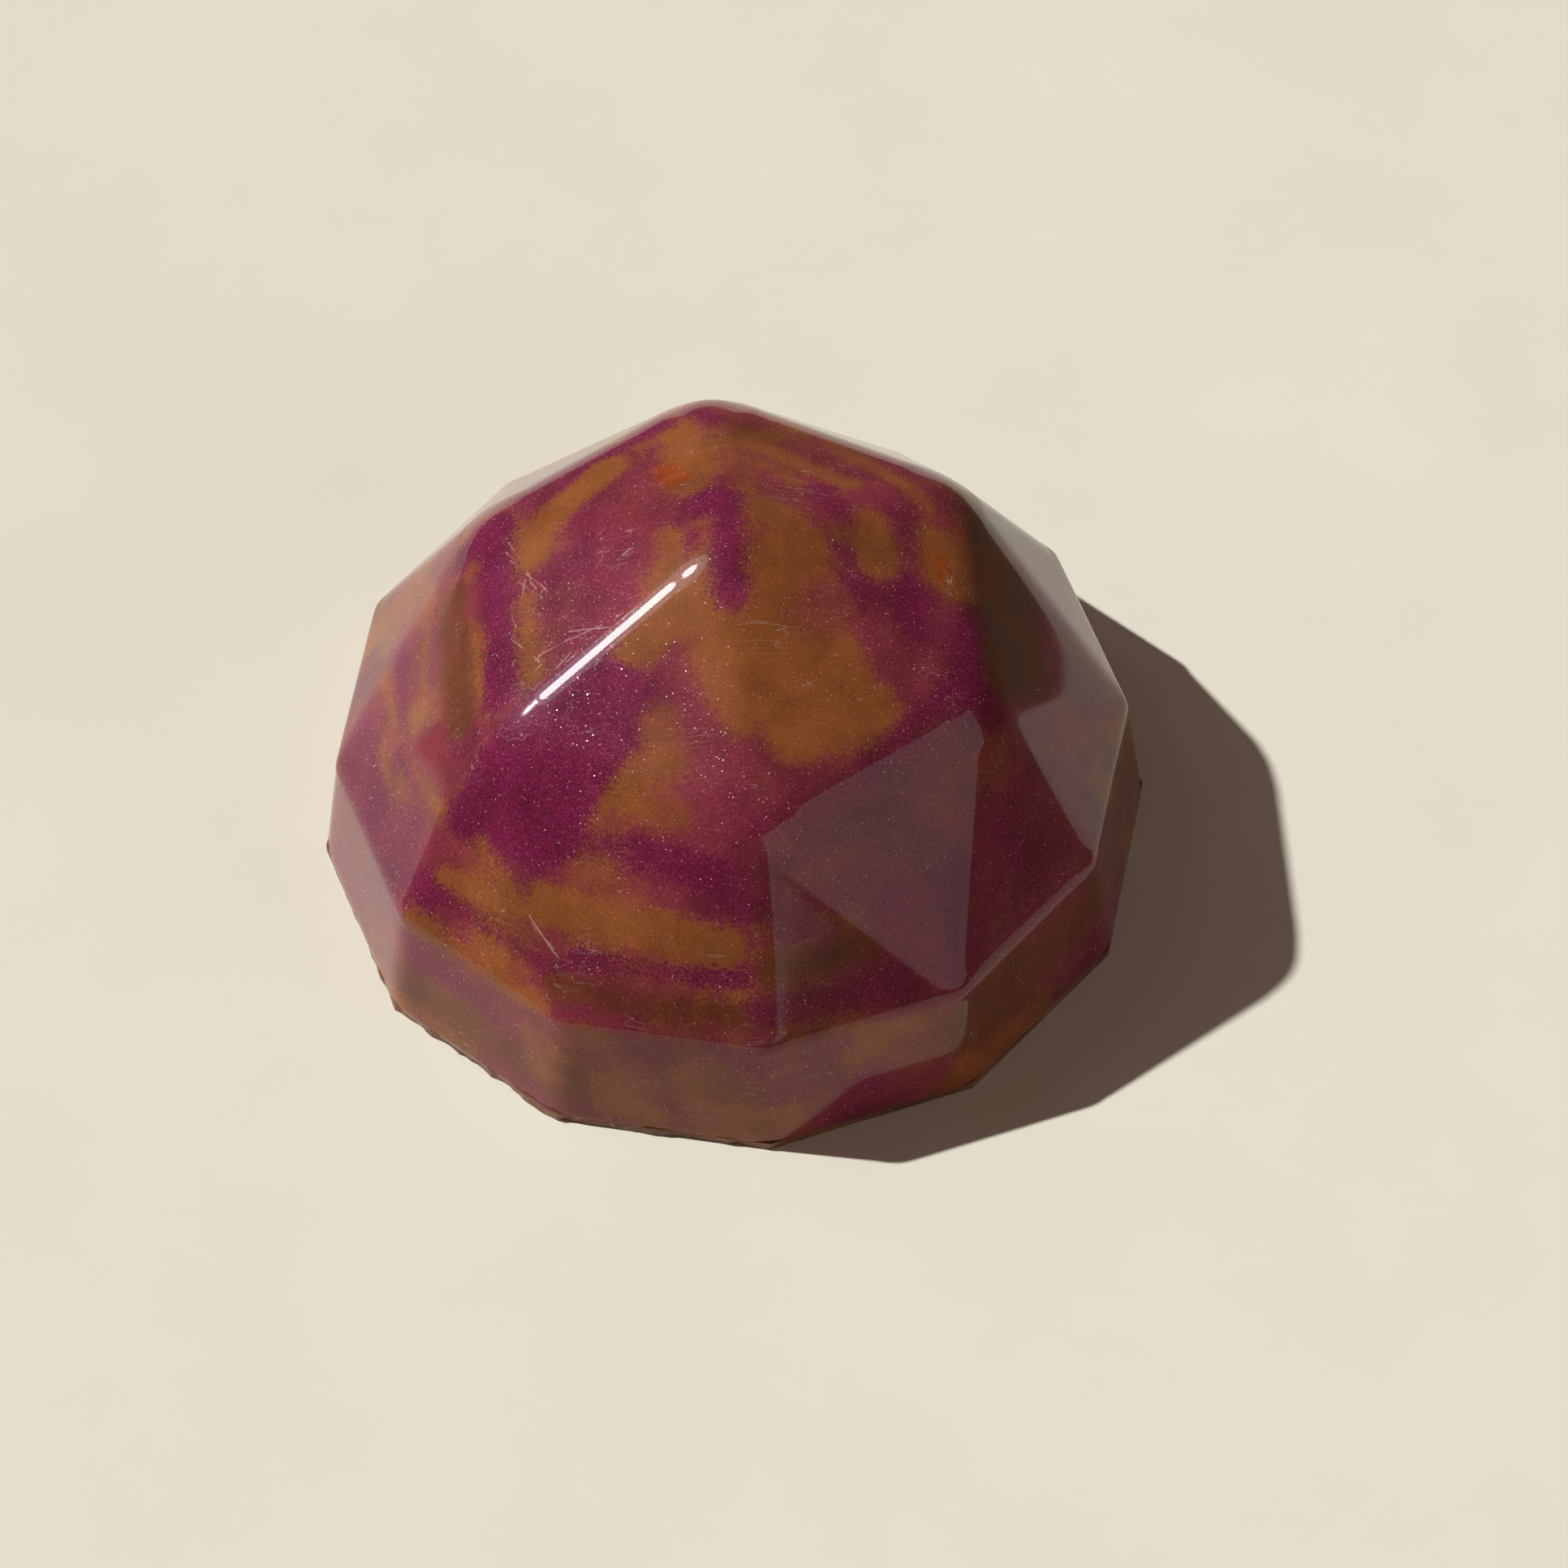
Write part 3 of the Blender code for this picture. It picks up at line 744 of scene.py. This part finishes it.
# name, size in metres, watts, bearing, height
CARDS = (("card", (0.5, 0.23), 0.35, -44.0, 21.2), ("strip", (0.08, 0.0095), 0.0023, -68.5, 7.0))
ROOM, SUN_HAZE, TO_CAMERA = (0.082, 0.047, 0.026, 1), (0.9, 0.75, 0.62, 1), (0.78, 0.73, 0.62, 1)
HAZE_OUTER, HAZE_INNER = 4, 2.5


def new_light(name, kind, watts, bearing, height, distance):
    """Stands a lamp out along a bearing and a height, and turns it to face the bonbon."""
    data = bpy.data.lights.new(name, kind)
    data.energy = watts
    thing = put_in_scene(name, data)
    out = towards(bearing, height)
    turned = out.to_track_quat("Z", "Y").to_matrix().to_4x4()
    thing.matrix_world = Matrix.Translation(out * distance) @ turned
    return thing


sun = new_light("sun", "SUN", SUN_STRENGTH, SUN_BEARING, SUN_HEIGHT, 1.0)
sun.data.angle = math.radians(SUN_ANGLE)
for name, size, watts, bearing, height in CARDS:
    card = new_light(name, "AREA", watts, bearing, height, CARD_DISTANCE)
    card.data.shape = "RECTANGLE"
    card.data.size, card.data.size_y = size
    card.data.color = CARD_COLOUR
for name, size, watts, tint in LAMPS:
    # The halo stands a little further back, so that it doesn't hide the lamp.
    distance = LAMP_DISTANCE + 0.2 * size
    lamp = new_light(name, "AREA", watts, LAMP_BEARING, LAMP_HEIGHT, distance)
    lamp.data.shape = "DISK"
    lamp.data.size = size
    lamp.data.color = tint
    lamp.visible_diffuse = False

room = bpy.data.worlds.new("room")
room.use_nodes = True
tree = room.node_tree
way = add(tree, "ShaderNodeTexCoord").outputs["Generated"]
near_sun = number_of(tree, "DOT_PRODUCT", way, towards(SUN_BEARING, SUN_HEIGHT))
glow = between(tree, near_sun, math.cos(math.radians(HAZE_OUTER)),
               math.cos(math.radians(HAZE_INNER)))
light = mixed(tree, glow, ROOM, SUN_HAZE)
seen = add(tree, "ShaderNodeLightPath").outputs["Is Camera Ray"]
feed(tree, mixed(tree, seen, light, TO_CAMERA), tree.nodes["Background"].inputs[0])
bpy.context.scene.world = room
bpy.context.scene.view_settings.view_transform = "Standard"
print(len(CARDS) + len(LAMPS) + 1, "lights")
